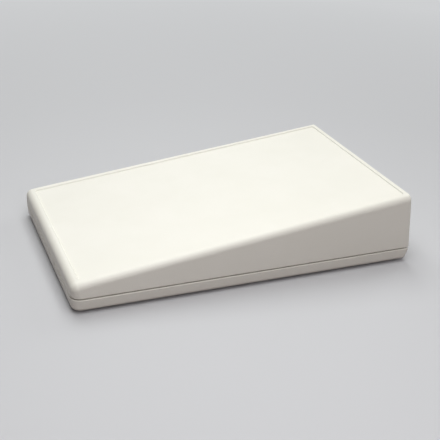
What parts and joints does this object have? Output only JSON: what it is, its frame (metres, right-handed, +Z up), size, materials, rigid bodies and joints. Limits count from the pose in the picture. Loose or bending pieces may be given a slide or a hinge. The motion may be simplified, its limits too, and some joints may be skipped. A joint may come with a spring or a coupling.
{
  "type": "console enclosure",
  "caption": "Sloped desktop console enclosure: moulded cover with a recessed top on a shallow screwed tray, with a flat rear panel and rubber feet.",
  "frame": {"origin": "on the table, under the middle of the parting outline", "axes": "+Z up, +Y towards the high rear end, +X to the user's right"},
  "size_m": [0.137, 0.21, 0.0439],
  "materials": {
    "case_plastic": "off-white moulded plastic with a fine satin texture",
    "panel_plastic": "off-white sheet plastic, fine matte texture",
    "screw_steel": "zinc plated steel",
    "foot_rubber": "matte black rubber"
  },
  "bodies": {
    "root": {"top_cover": "case_plastic", "base_tray": "case_plastic", "rear_panel": "panel_plastic", "case_screws": "screw_steel", "foot_front_left": "foot_rubber", "foot_front_right": "foot_rubber", "foot_rear_left": "foot_rubber", "foot_rear_right": "foot_rubber"}
  },
  "joints": []
}
